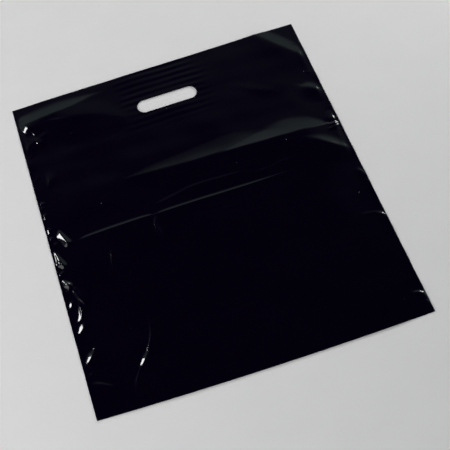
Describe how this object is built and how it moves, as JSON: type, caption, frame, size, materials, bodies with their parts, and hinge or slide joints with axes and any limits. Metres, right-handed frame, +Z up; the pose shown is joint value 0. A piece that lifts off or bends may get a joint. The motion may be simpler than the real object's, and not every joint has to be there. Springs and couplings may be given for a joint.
{
  "type": "plastic carrier bag",
  "caption": "Flat, empty plastic film carrier bag with a punched hand slot, glued reinforcing patches inside the handle, welded sides and a folded-in bottom gusset.",
  "frame": {"origin": "middle of the bag's outline, on the surface that it lies on", "axes": "+X across the bag from one side weld to the other, +Y from the bottom fold to the open mouth and the handle, +Z up out of the front panel"},
  "size_m": [0.406, 0.457, 0.003],
  "materials": {
    "bag_film": "glossy",
    "handle_patch": "satin"
  },
  "bodies": {
    "root": {"bag_film": "bag_film", "front_handle_patch": "handle_patch", "back_handle_patch": "handle_patch"}
  },
  "joints": []
}
